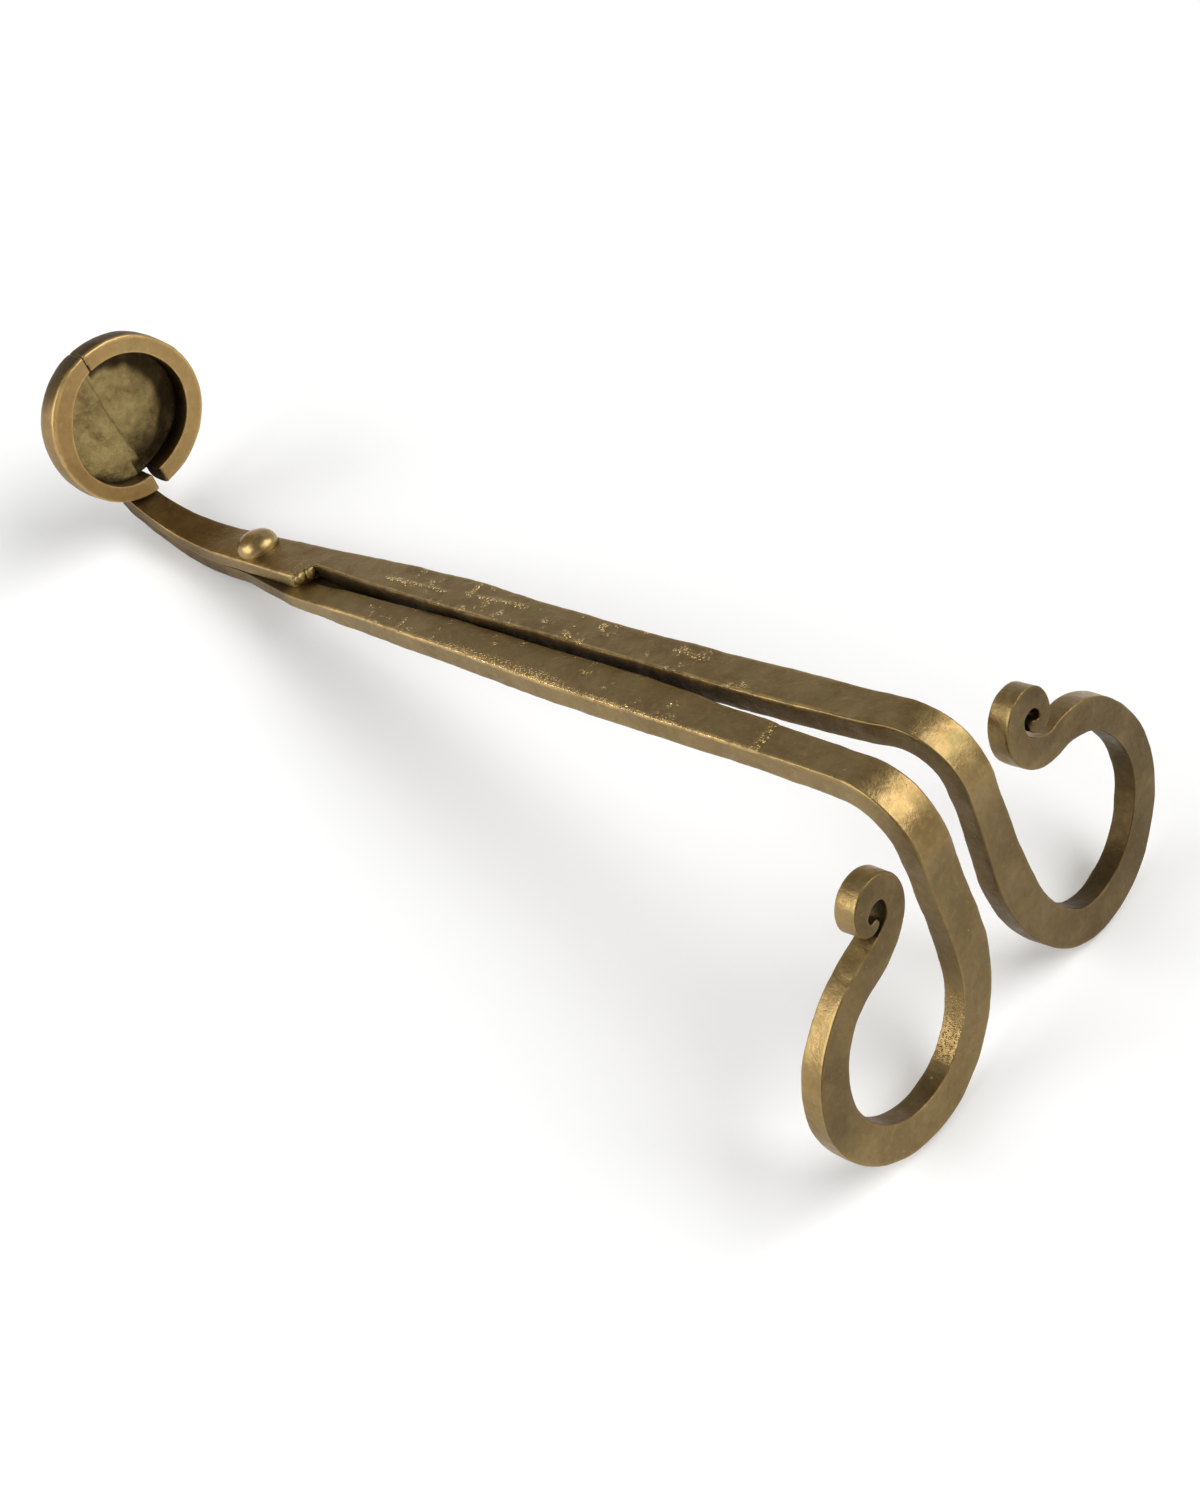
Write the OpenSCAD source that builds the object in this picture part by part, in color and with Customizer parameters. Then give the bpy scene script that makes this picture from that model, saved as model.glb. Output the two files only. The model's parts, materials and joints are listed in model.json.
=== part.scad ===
// Forged wick trimmer: two crossed brass levers on one rivet, each carrying half of a shallow
// round cup that snips and catches a candle wick. Shown closed and resting on a table: the two
// finger loops and the underside of the necks touch z = 0.
// Units are millimetres. +X runs from the cup to the finger loops, +Y to the upper lever's arm,
// +Z up. The origin is under the middle of the whole tool, on the table.
//
// The levers are drawn in a pivot frame (Z along the rivet, z = 0 where the two laps meet, X
// along the arms) and as_it_rests() then lays that frame on the table.

/* [Levers] */
// Thickness of the bar along the arms
arm_thickness = 3.8; // [3.4:0.1:4.2]
// Thickness of each lever where they lap at the rivet
lap_thickness = 2.65; // [2.4:0.05:3.0]
// Distance from the rivet to the bend at the end of the arms
arm_length = 140.4; // [125:0.5:155]
// Distance from the rivet to the shoulder at the back of each lap
lap_back = 15.1; // [14:0.1:16]
// Half width of a lap on the side of its own cup half
lap_reach = 4.3; // [4.0:0.1:4.6]
// Half width of a lap on the side of its own arm
lap_side = 3.6; // [3.4:0.1:4.4]
// Extra width of the lower lever beside the rivet
lower_side_extra = 0.8; // [0.4:0.1:1.2]

/* [Finger loops] */
// Outside radius of the bend from arm to loop
bend_radius = 10.96; // [9:0.1:13]
// Angle of that bend
bend_angle = 88; // [86:0.5:90]
// Thickness of the bar in the loops
loop_thickness = 3.6; // [3.2:0.1:4.0]
// Width of the bar in the loops
loop_width = 6.0; // [5.6:0.1:6.4]
// Radius of the middle line of a loop
loop_radius = 15.4; // [14.5:0.1:16.5]
// Length of the straight leg above a loop
leg_length = 20.5; // [18.5:0.5:22]
// Height of the upper lever's scroll above its centre
upper_scroll_radius = 6.2; // [5.6:0.1:6.6]
// Height of the lower lever's scroll above its centre
lower_scroll_radius = 4.9; // [4.6:0.1:5.4]

/* [Neck] */
// Distance in front of the rivet where a neck starts to rise
neck_start = 7.5; // [7:0.1:8]
// Radius of the long rise of the neck, on its upper face
neck_radius = 39.4; // [38:0.2:41]
// Angle reached at the end of that rise
neck_rise = 31; // [30:0.5:32]

/* [Cup] */
// Outside diameter of the cup
cup_diameter = 31; // [30:0.1:31.4]
// Width of the rim seen from the front
rim_width = 3.5; // [3.0:0.1:3.8]
// Height of the rim, front to back
rim_height = 5.1; // [4.9:0.1:5.4]
// Depth of the dish in front of the upper blade
dish_depth = 3.2; // [3.0:0.1:3.3]
// Thickness of a blade plate
blade_thickness = 0.9; // [0.8:0.05:0.9]
// Lean of the cup towards the handles, past upright
cup_lean = 6; // [5:0.5:7]
// How far the lower blade runs behind the upper one
blade_overlap = 1.2; // [0.8:0.1:1.4]

/* [Rivet] */
// Diameter of the rivet shank
rivet_diameter = 5; // [4.5:0.1:5.5]
// Diameter of the domed rivet head
rivet_head_diameter = 7.8; // [7.4:0.1:8.2]
// Height of the domed rivet head
rivet_head_height = 2.7; // [2.0:0.1:3.0]

/* [Node to show] */
// One node, or all of them

/* [Hidden] */
arc_step = 3;
lap_gap = 0.05;
running_clearance = 0.06;
seam_gap = 0.15;
braze = 0.02;
big = 60;

// Resting pose: the tool leans on its loops and necks, and rolls a little because the lower
// lever's loop hangs one joggle lower than the upper one's.
rest_lean = 15.43;
rest_roll = -2.055;
rest_shift = [-60.24, 0.91, 6.25];

// Arms, seen from above in each lever's own half (y positive towards its own arm)
shoulder_run = 1.5;
shoulder_x = lap_back + shoulder_run;
side_narrowing = 0.3;
neck_full = 26;
upper_inner = [[shoulder_x, -0.3], [30, -0.8], [46, -1.0], [60, -0.9], [75, -0.5], [90, -0.4],
    [105, -0.2], [115, -0.15], [123, 0.1], [arm_length, 1.0]];
upper_outer = [[lap_back, 4.4], [33, 5.7], [43, 6.2], [53, 6.5], [66, 6.1], [80, 6.0], [95, 5.9],
    [106, 6.3], [118, 6.6], [arm_length, 7.2]];
lower_inner = [[shoulder_x, 1.7], [36, 1.9], [46, 1.55], [56, 1.25], [90, 1.15], [100, 1.1],
    [107, 1.3], [113, 1.95], [123, 2.3], [arm_length, 2.9]];
lower_outer = [[lap_back, 6.4], [30, 6.8], [45, 7.4], [60, 7.6], [70, 8.0], [80, 8.3], [95, 8.4],
    [117, 8.3], [arm_length, 8.5]];
// Root of the lower lap: a web that runs on under the upper arm and tapers away
root_inner = -2.5;
root_outer = 2.6;
root_clearance = 0.05;
lower_arm_top = arm_thickness - lap_thickness;
bend_steps = 22;
leg_overlap = 0.3;
ramp_start = lap_back + 2;
ramp_end = 38;

// Scrolls: [down, out] of the centre, then reach up, down and sideways from it
upper_scroll = [0, 17.1, upper_scroll_radius, 6.3, 4.7];
lower_scroll = [1.0, 17.9, lower_scroll_radius, 5.7, 4.6];
scroll_tip_width = 2.2;
loop_leg_out = 5.5;
// How far a loop draws in as it goes round, how much its bar tapers, and the width of its leg
upper_loop_shape = [-0.6, 0.25, 6.7];
lower_loop_shape = [2.0, 0.2, 6.4];

// Cup frame: its z points at the handles, its x points down towards the neck
cup_centre = [-25.4, 1.0, 24.4];
cup_radius = cup_diameter / 2;
dish_radius = cup_radius - rim_width;
upper_back = dish_depth + blade_thickness;
blade_gap = 0.1;
lower_front = upper_back + blade_gap;
lower_back = lower_front + blade_thickness;
neck_step = 1.6;
ear_thickness = 1.6;
seam_middle = -1.75;
seam_slope = 0.095;
notch_from = 10.5;
notch_edge = 0.6;
notch_clearance = 0.5;
upper_pad_edge = seam_middle - blade_overlap - 0.4;
// Pads on the necks, from and to, counted down from the middle of the cup
upper_pad = [5, 11];
lower_pad = [4, 10.5];
lower_ear = [0, 6];
pad_root = 0.5;
pad_clearance = 0.05;

// Neck edges where they meet the cup: [far from its own arm, towards its own arm]
upper_neck = [-4.6, 0.6];
lower_neck = [-2.9, 3.8];
// Slanting end of the lower rim beside the upper neck: [down, sideways] of two points
rim_cut = [[5, 0.7], [25, 2.4]];
neck_bend_radius = 3;
neck_grip = 8;
neck_end_angle = 90 + cup_lean;
upper_neck_tip = 1.3;
lower_neck_tip = 2.5;
rivet_head_edge = 0.3;
rivet_root = 0.4;

// Lays the pivot frame on the table
module as_it_rests() {
    translate(rest_shift)
        rotate([rest_roll, -rest_lean, 0])
            children();
}

// Goes from the pivot frame to the cup frame
module at_cup() {
    translate(cup_centre)
        rotate([0, 90 + cup_lean, 0])
            children();
}

// ---- Neck, seen from the side -------------------------------------------------------------

// Upper face of the upper neck: [x, z, angle] along a long rise, a straight and a tight bend.
// The straight is as long as it takes for the tight bend to land on the back of the rims.
rise_x = -neck_start - neck_radius * sin(neck_rise);
rise_z = lap_thickness + neck_radius * (1 - cos(neck_rise));
bend_dx = neck_bend_radius * (sin(neck_end_angle) - sin(neck_rise));
bend_dz = neck_bend_radius * (cos(neck_rise) - cos(neck_end_angle));
back_x = cup_centre[0] - rim_height * cos(cup_lean);
back_z = cup_centre[2] + rim_height * sin(cup_lean);
lean_slope = tan(cup_lean);
straight = (rise_x - bend_dx - back_x + (back_z - rise_z - bend_dz) * lean_slope)
    / (cos(neck_rise) + sin(neck_rise) * lean_slope);
turn_x = rise_x - straight * cos(neck_rise) + neck_bend_radius * sin(neck_rise);
turn_z = rise_z + straight * sin(neck_rise) + neck_bend_radius * cos(neck_rise);
tip_x = turn_x - neck_bend_radius * sin(neck_end_angle);
tip_z = turn_z - neck_bend_radius * cos(neck_end_angle);

neck_face = concat(
    [for (a = [0 : arc_step : neck_rise])
        [-neck_start - neck_radius * sin(a), lap_thickness + neck_radius * (1 - cos(a)), a]],
    [for (a = [neck_rise : arc_step * 2 : neck_end_angle])
        [turn_x - neck_bend_radius * sin(a), turn_z - neck_bend_radius * cos(a), a]],
    [[tip_x, tip_z, neck_end_angle],
     [tip_x - neck_grip * cos(neck_end_angle), tip_z + neck_grip * sin(neck_end_angle), neck_end_angle]]);

// Point of the neck face moved below it by d
function below(p, d) = [p[0] - d * sin(p[2]), p[1] - d * cos(p[2])];

// Runs from v0 at angle a0 to v1 at angle a1
function blend_angle(a, a0, a1, v0, v1) = v0 + (v1 - v0) * min(1, max(0, (a - a0) / (a1 - a0)));

function reversed(list) = [for (i = [len(list) - 1 : -1 : 0]) list[i]];

function upper_neck_under(a) = blend_angle(a, 0, 60, lap_thickness - lap_gap / 2, upper_neck_tip);
function lower_neck_over(a) = blend_angle(a, neck_rise, 90, lap_thickness + lap_gap / 2, neck_step);
function lower_neck_under(a) = lower_neck_over(a)
    + blend_angle(a, 0, 60, lap_thickness - lap_gap / 2, lower_neck_tip);

// Arc of the bend at the end of an arm whose upper face is at top
function bend_arc(radius, top) =
    [for (i = [0 : bend_steps])
        let (a = bend_angle * i / bend_steps)
        [arm_length + radius * sin(a), top - bend_radius + radius * cos(a)]];

// Side outline of the upper lever: level on top, thinned underneath for the lap
module upper_side() {
    polygon(concat(
        reversed(bend_arc(bend_radius, lap_thickness)),
        [for (p = neck_face) below(p, 0)],
        reversed([for (p = neck_face) below(p, upper_neck_under(p[2]))]),
        [[ramp_start, lap_gap / 2],
         [ramp_end, lap_thickness - arm_thickness]],
        bend_arc(bend_radius - arm_thickness, lap_thickness)));
}

// Side outline of the lower lever: level underneath, thinned on top for the lap
module lower_side() {
    polygon(concat(
        reversed(bend_arc(bend_radius, lower_arm_top)),
        [[ramp_end, lower_arm_top],
         [ramp_start, -lap_gap / 2]],
        [for (p = neck_face) below(p, lower_neck_over(p[2]))],
        reversed([for (p = neck_face) below(p, lower_neck_under(p[2]))]),
        bend_arc(bend_radius - arm_thickness, lower_arm_top)));
}

// Plan of a lever in its own half. The lap reaches across to the other side and ends in a
// shoulder; the neck leaves the lap and narrows to the edges given.
module lever_plan(inner, outer, side, neck) {
    far_end = arm_length + bend_radius + 1;
    polygon(concat(
        [[far_end, last_y(inner)]],
        reversed(inner),
        [[lap_back, -lap_reach],
         [-neck_start, -lap_reach],
         [-neck_full, neck[0]],
         [-big, neck[0]],
         [-big, neck[1]],
         [-neck_full, neck[1]],
         [-neck_start, side - side_narrowing],
         [0, side]],
        outer,
        [[far_end, last_y(outer)]]));
}

function last_y(points) = points[len(points) - 1][1];

// Side outline and plan of the web under the upper arm
module root_side() {
    polygon([
        [ramp_start, -lap_gap / 2],
        [ramp_end, lap_thickness - arm_thickness - root_clearance],
        [ramp_end, -lap_thickness],
        [lap_back - shoulder_run, -lap_thickness],
        [lap_back - shoulder_run, -lap_gap / 2]]);
}

module root_plan() {
    polygon([
        [lap_back - shoulder_run, root_inner],
        [ramp_end, root_outer - shoulder_run / 2],
        [ramp_end, root_outer],
        [lap_back - shoulder_run, root_outer]]);
}

// Solid with the given side outline (child 0) and plan (child 1)
module side_and_plan() {
    intersection() {
        rotate([90, 0, 0])
            linear_extrude(big, center = true)
                children(0);
        translate([0, 0, -big / 2])
            linear_extrude(big * 2)
                children(1);
    }
}

// ---- Finger loop -------------------------------------------------------------------------

// Middle line and half width of leg and loop as [down, out, half width, heading].
// Heading 0 runs down the leg and 90 runs outwards.
function loop_path(start_out, start_w, shrink, taper, leg_w) = concat(
    [for (i = [0 : 4])
        let (t = i / 4)
        [leg_length * t - leg_overlap * (1 - t), start_out + (loop_leg_out - start_out) * sin(90 * t),
         (start_w + (leg_w - start_w) * ease(2 * t)) / 2, 0]],
    [for (a = [6 : 6 : 258])
        let (r = loop_radius - shrink * (ease((a - 165) / 60) - 0.5 * ease((a - 240) / 30)))
        [leg_length + r * sin(a), loop_leg_out + loop_radius - r * cos(a),
         (leg_w + (loop_width - leg_w) * ease(a / 60)) / 2 * (1 - taper * ease((a - 180) / 90)), a]]);

// The same for a scroll, which turns the other way round its centre and closes in on itself
function scroll_path(scroll, taper) =
    [for (a = [250 : -10 : -30])
        let (t = (270 - a) / 300,
             w = (loop_width * (1 - taper) * (1 - t) + scroll_tip_width * t) / 2,
             k = 1 - 0.45 * ease((90 - a) / 150),
             up = (a > 180 ? scroll[3] : scroll[2]) * k - w)
        [scroll[0] - up * sin(a), scroll[1] + (scroll[4] * k - w) * cos(a), w, a]];

function ease(t) = let (u = min(1, max(0, t))) u * u * (3 - 2 * u);

// Closed outline of a path with the half width laid off on both sides
module band(path) {
    left = [for (p = path) [p[0] + p[2] * sin(p[3]), p[1] - p[2] * cos(p[3])]];
    right = [for (p = path) [p[0] - p[2] * sin(p[3]), p[1] + p[2] * cos(p[3])]];
    polygon(concat(left, reversed(right)));
}

// Loop hanging from the bend of an arm whose upper face is at top. Its bar is a little slimmer
// than the arm's, by seat on each side.
module finger_loop(top, inner, outer, scroll, shape) {
    seat = (arm_thickness - loop_thickness) / 2;
    taper = shape[1];
    loop = loop_path((inner + outer) / 2, outer - inner - 2 * seat, shape[0], taper, shape[2]);
    translate([arm_length, 0, top - bend_radius])
        rotate([0, bend_angle, 0])
            translate([0, 0, bend_radius - loop_thickness - seat])
                linear_extrude(loop_thickness)
                    band(concat(loop, scroll_path(scroll, taper)));
}

// ---- Cup -----------------------------------------------------------------------------------

// Half plane on one side of the seam, in the cup frame; side is -1 for the upper lever's half
module cup_half(side, shift) {
    rotate([0, 0, atan(seam_slope)])
        translate([-big / 2, side < 0 ? -big + seam_middle + shift : seam_middle + shift])
            square([big, big]);
}

module half_plate(side, shift, front, back) {
    translate([0, 0, -back])
        linear_extrude(back - front)
            intersection() {
                circle(dish_radius + braze, $fn = 180);
                cup_half(side, shift);
            }
}

module half_ring(side, shift) {
    translate([0, 0, -rim_height])
        linear_extrude(rim_height)
            intersection() {
                difference() {
                    circle(cup_radius, $fn = 180);
                    circle(dish_radius, $fn = 180);
                }
                cup_half(side, shift);
            }
}

// Room that a neck leaves for the cup
module cup_seat() {
    at_cup()
        translate([0, 0, braze - rim_height])
            cylinder(h = big, r = cup_radius + braze, $fn = 180);
}

// Pad on a neck inside the rim, from the neck's face forward to the back of its blade
module pad(down, y0, y1, back, front) {
    at_cup()
        intersection() {
            translate([down[0], y0, -back])
                cube([down[1] - down[0], y1 - y0, back - front]);
            translate([0, 0, -back])
                cylinder(h = back, r = dish_radius - pad_clearance, $fn = 180);
        }
}

// ---- Nodes ---------------------------------------------------------------------------------

module upper_lever() {
    color([0.45, 0.37, 0.24])
        as_it_rests() {
            difference() {
                side_and_plan() {
                    upper_side();
                    lever_plan(upper_inner, upper_outer, lap_side, upper_neck);
                }
                cup_seat();
                // behind the blades the neck stays clear of the lower blade's overlap
                at_cup()
                    translate([-big, upper_pad_edge, -big])
                        cube([big + notch_from + notch_clearance, big, big]);
                translate([0, 0, -lap_gap])
                    cylinder(h = big, d = rivet_diameter + 2 * running_clearance, $fn = 90);
            }
            pad(upper_pad, upper_neck[0] - cup_centre[1], upper_pad_edge, rim_height + pad_root,
                upper_back - braze);
            finger_loop(lap_thickness, last_y(upper_inner), last_y(upper_outer), upper_scroll,
                upper_loop_shape);
        }
}

module lower_lever() {
    color([0.43, 0.35, 0.22])
        as_it_rests()
            mirror([0, 1, 0]) {
                difference() {
                    side_and_plan() {
                        lower_side();
                        lever_plan(lower_inner, lower_outer, lap_side + lower_side_extra, lower_neck);
                    }
                    mirror([0, 1, 0])
                        cup_seat();
                    translate([0, 0, lap_gap - big])
                        cylinder(h = big, d = rivet_diameter, $fn = 90);
                }
                side_and_plan() {
                    root_side();
                    root_plan();
                }
                // ear that reaches sideways and forward to the back of the lower blade
                mirror([0, 1, 0])
                    pad(lower_pad, lower_ear[0], lower_ear[1], rim_height + neck_step + ear_thickness,
                        lower_back - braze);
                finger_loop(lower_arm_top, last_y(lower_inner), last_y(lower_outer), lower_scroll,
                    lower_loop_shape);
            }
}

module upper_blade() {
    color([0.48, 0.40, 0.23])
        as_it_rests()
            at_cup()
                half_plate(-1, 0, dish_depth, upper_back);
}

module lower_blade() {
    color([0.47, 0.37, 0.20])
        as_it_rests()
            at_cup()
                difference() {
                    half_plate(1, -blade_overlap, lower_front, lower_back);
                    // notch for the upper lever's neck
                    translate([notch_from, notch_edge - big, -big])
                        cube([big, big, big]);
                    // past the seam the plate stays clear of the upper rim
                    translate([0, 0, -big])
                        linear_extrude(big)
                            intersection() {
                                difference() {
                                    circle(cup_radius, $fn = 180);
                                    circle(dish_radius - seam_gap, $fn = 180);
                                }
                                cup_half(-1, 0);
                            }
                }
}

module upper_rim() {
    color([0.60, 0.49, 0.31])
        as_it_rests()
            at_cup()
                half_ring(-1, -seam_gap / 2);
}

module lower_rim() {
    color([0.61, 0.50, 0.31])
        as_it_rests()
            at_cup()
                difference() {
                    half_ring(1, seam_gap / 2);
                    // the strip stops short of the upper lever's neck
                    translate([0, 0, -big / 2])
                        linear_extrude(big)
                            polygon([
                                [rim_cut[0][0], -cup_radius],
                                rim_cut[0],
                                rim_cut[1],
                                [rim_cut[1][0], -cup_radius]]);
                }
}

module pivot_rivet() {
    color([0.71, 0.60, 0.37])
        as_it_rests() {
            translate([0, 0, -lap_thickness - rivet_root])
                cylinder(h = 2 * (lap_thickness + rivet_root) + lap_gap, d = rivet_diameter, $fn = 90);
            translate([0, 0, lap_thickness + lap_gap])
                rivet_head(rivet_head_height);
            translate([0, 0, -lap_thickness])
                mirror([0, 0, 1])
                    rivet_head(rivet_head_height * 0.6);
        }
}

// Low dome with a short upright edge
module rivet_head(h) {
    r = rivet_head_diameter / 2;
    dome = h - rivet_head_edge;
    sphere_r = (r * r + dome * dome) / (2 * dome);
    cylinder(h = rivet_head_edge, r = r, $fn = 90);
    translate([0, 0, rivet_head_edge])
        intersection() {
            translate([0, 0, dome - sphere_r])
                sphere(r = sphere_r, $fn = 120);
            cylinder(h = h, r = r, $fn = 90);
        }
}

upper_lever();
lower_lever();
upper_blade();
lower_blade();
upper_rim();
lower_rim();
pivot_rivet();
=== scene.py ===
"""Forged brass wick trimmer, closed and resting on a pale floor.

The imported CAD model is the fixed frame. Each CAD node is replaced by a forged piece with worn
edges and hammer marks, built in the same place, and six small pieces are added to them.
The trimmer's lengths are millimetres until to_metres(); the floor and the lights are in metres.
"""
import json
import math

import bmesh
import bpy
import numpy as np
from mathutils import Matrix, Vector, noise


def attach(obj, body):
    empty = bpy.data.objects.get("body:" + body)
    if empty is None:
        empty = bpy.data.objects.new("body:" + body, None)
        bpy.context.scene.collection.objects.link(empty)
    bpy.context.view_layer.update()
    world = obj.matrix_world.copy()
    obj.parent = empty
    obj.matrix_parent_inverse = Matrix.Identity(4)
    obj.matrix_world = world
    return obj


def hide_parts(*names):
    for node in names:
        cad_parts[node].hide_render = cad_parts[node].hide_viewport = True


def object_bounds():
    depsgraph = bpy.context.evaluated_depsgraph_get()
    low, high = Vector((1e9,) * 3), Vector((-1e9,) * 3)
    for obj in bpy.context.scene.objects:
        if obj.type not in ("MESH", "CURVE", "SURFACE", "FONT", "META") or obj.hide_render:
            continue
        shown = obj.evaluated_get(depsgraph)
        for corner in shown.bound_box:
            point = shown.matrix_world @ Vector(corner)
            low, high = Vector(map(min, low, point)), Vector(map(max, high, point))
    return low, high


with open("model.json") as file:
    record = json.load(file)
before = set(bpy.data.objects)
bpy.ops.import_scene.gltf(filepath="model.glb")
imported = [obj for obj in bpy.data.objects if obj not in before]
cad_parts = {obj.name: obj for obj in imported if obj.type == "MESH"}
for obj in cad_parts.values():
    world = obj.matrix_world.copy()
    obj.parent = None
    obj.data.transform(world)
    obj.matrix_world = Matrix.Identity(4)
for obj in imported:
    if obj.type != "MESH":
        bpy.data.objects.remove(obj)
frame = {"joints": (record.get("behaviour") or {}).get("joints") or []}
cad_box = [list(corner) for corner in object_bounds()]
MM = 0.001

# ---- Driving dimensions, the same as the CAD's ---------------------------------------------------
LAP_THICKNESS = 2.65
LAP_CLEARANCE = 0.025           # from the plane between the two laps to each of them
LAP_REACH = 4.3                 # from the pivot to the near side of both laps
ARM_THICKNESS = 3.8
LOOP_THICKNESS = 3.6
ARM_LENGTH = 140.4
LAP_BACK = 15.1
RAMP = (17.1, 38.0)
BEND_RADIUS = 10.96
BEND_ANGLE = 88.0
NECK_START = 7.5
NECK_RADIUS = 39.4
NECK_RISE = 31.0
NECK_BEND_RADIUS = 3.0
NECK_GRIP = 8.0
NECK_TIPS = (1.3, 2.5)
NECK_STEP = 1.6
CUP_LEAN = 6.0
CUP_CENTRE = np.array([-25.4, 1.0, 24.4])
CUP_RADIUS = 15.5
DISH_RADIUS = 12.0
RIM_HEIGHT = 5.1
UPPER_FLOOR = 3.2
LOWER_FLOOR = 4.2
BLADE_THICKNESS = 0.9
SEAM_MIDDLE = -1.75
SEAM_ANGLE = math.atan(0.095)
SEAM_GAP = 0.15
BLADE_OVERLAP = 1.2
RIVET_RADIUS = 2.5
HEAD_RADIUS = 3.9
# Sides of the arms, as (x, distance out), towards the other arm and away from it
UPPER_INNER = ((16.6, -0.3), (30, -0.8), (46, -1.0), (60, -0.9), (75, -0.5), (90, -0.4), (105, -0.2),
               (115, -0.15), (123, 0.1), (ARM_LENGTH, 1.0))
UPPER_OUTER = ((-NECK_START, 3.3), (0, 3.6), (LAP_BACK, 4.4), (33, 5.7), (43, 6.2), (53, 6.5), (66, 6.1),
               (80, 6.0), (95, 5.9), (106, 6.3), (118, 6.6), (ARM_LENGTH, 7.2))
LOWER_INNER = ((16.6, 1.7), (36, 1.9), (46, 1.55), (56, 1.25), (90, 1.15), (100, 1.1), (107, 1.3),
               (113, 1.95), (123, 2.3), (ARM_LENGTH, 2.9))
LOWER_OUTER = ((-NECK_START, 4.1), (0, 4.4), (LAP_BACK, 6.4), (30, 6.8), (45, 7.4), (60, 7.6), (70, 8.0),
               (80, 8.3), (95, 8.4), (117, 8.3), (ARM_LENGTH, 8.5))
ARM_TOPS = {"upper": LAP_THICKNESS, "lower": ARM_THICKNESS - LAP_THICKNESS}

# ---- Dimensions of the forged pieces alone, a little off the CAD's --------------------------------
STEP = 0.4                      # distance between two sections of a bar
HEAD_HEIGHT = 2.9
UPPER_NECK = (-4.6, 0.9)        # near and far side of a neck at its tip
LOWER_NECK = (-2.0, 3.8)
NECK_TIP_X = -27.0
LOOP_MIDDLE = (20.9, -28.0)     # middle of a loop: distance out and height
SCROLL_EYES = {1: (18.0, -5.7), -1: (19.0, -9.7)}     # the same for the scrolls, by side
LOOP_HIGHLIGHT = -38.0               # height of the painted highlight inside the lower loop

# ---- Frames ---------------------------------------------------------------------------------------
pivot = frame["joints"][0]
PIVOT_PLACE = np.array(pivot["pos_m"]) / MM
axis_x, axis_y, _ = pivot["axis"]
REST_ROLL = -math.asin(axis_y)
REST_LEAN = math.asin(-axis_x / math.cos(REST_ROLL))


def turn_x(angle):
    c, s = math.cos(angle), math.sin(angle)
    return np.array([[1, 0, 0], [0, c, -s], [0, s, c]])


def turn_y(angle):
    c, s = math.cos(angle), math.sin(angle)
    return np.array([[c, 0, s], [0, 1, 0], [-s, 0, c]])


AS_IT_RESTS = turn_y(-REST_LEAN) @ turn_x(REST_ROLL)
AT_CUP = turn_y(math.radians(90 + CUP_LEAN))


def to_metres(points):
    """Pivot frame, in millimetres, to the row frame, in metres."""
    return (points @ AS_IT_RESTS.T + PIVOT_PLACE) * MM


def from_cup(points):
    """Cup frame (z towards the handles, x down, origin in the rim's front) to the pivot frame."""
    return points @ AT_CUP.T + CUP_CENTRE


# ---- Mesh building --------------------------------------------------------------------------------
def blur(values, reach):
    """Smooths values along their first axis; reach is in samples."""
    half = int(3 * reach) + 1
    weights = np.exp(-0.5 * (np.arange(-half, half + 1) / reach) ** 2)
    weights /= weights.sum()
    padded = np.concatenate([np.repeat(values[:1], half, 0), values, np.repeat(values[-1:], half, 0)])
    return np.apply_along_axis(lambda column: np.convolve(column, weights, "valid"), 0, padded)


def ease(t):
    """Smooth way from 0 to 1, for a number or an array."""
    t = np.clip(t, 0, 1)
    return t * t * (3 - 2 * t)


def fade(t):
    """ease() for one number."""
    return float(ease(t))


def hump(x, middle, width, power=2):
    """1 at the middle and 0 a few widths away."""
    return math.exp(-((x - middle) / width) ** power)


def section_template(across=14, through=8, corner=4):
    """Points round a rounded rectangle: (corner, next corner, share of the way, normal u, normal v).
    Corners run 0: +u +v, 1: -u +v, 2: -u -v, 3: +u -v."""
    rows = []
    for k in range(4):
        for i in range(corner + 1):
            angle = math.pi / 2 * (k + i / corner)
            rows.append((k, k, 0.0, math.cos(angle), math.sin(angle)))
        count = across if k % 2 == 0 else through
        angle = math.pi / 2 * (k + 1)
        for i in range(1, count):
            rows.append((k, (k + 1) % 4, i / count, math.cos(angle), math.sin(angle)))
    return rows


TEMPLATE = section_template()
CORNER_SIGNS = np.array([[1, 1], [-1, 1], [-1, -1], [1, -1]])


def sections(u0, u1, v0, v1, radii):
    """Outlines (station, point, uv) and how close each point is to an edge, from 0 to 1."""
    n = len(u0)
    radii = np.broadcast_to(np.asarray(radii, float), (n, 4))
    lows = np.stack([u0, v0], 1)
    highs = np.stack([u1, v1], 1)
    centres = []
    for k in range(4):
        sign = CORNER_SIGNS[k]
        corner = np.where(sign > 0, highs, lows)
        centres.append(corner - sign * radii[:, k:k + 1])
    out = np.zeros((n, len(TEMPLATE), 2))
    edge = np.zeros((n, len(TEMPLATE)))
    for i, (a, b, share, nu, nv) in enumerate(TEMPLATE):
        normal = np.array([nu, nv])
        pa = centres[a] + radii[:, a:a + 1] * normal
        pb = centres[b] + radii[:, b:b + 1] * normal
        out[:, i] = pa + (pb - pa) * share
        gap = np.linalg.norm(pb - pa, axis=1) * min(share, 1 - share)
        edge[:, i] = np.exp(-(gap / 0.22) ** 2)
    return out, edge


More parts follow.
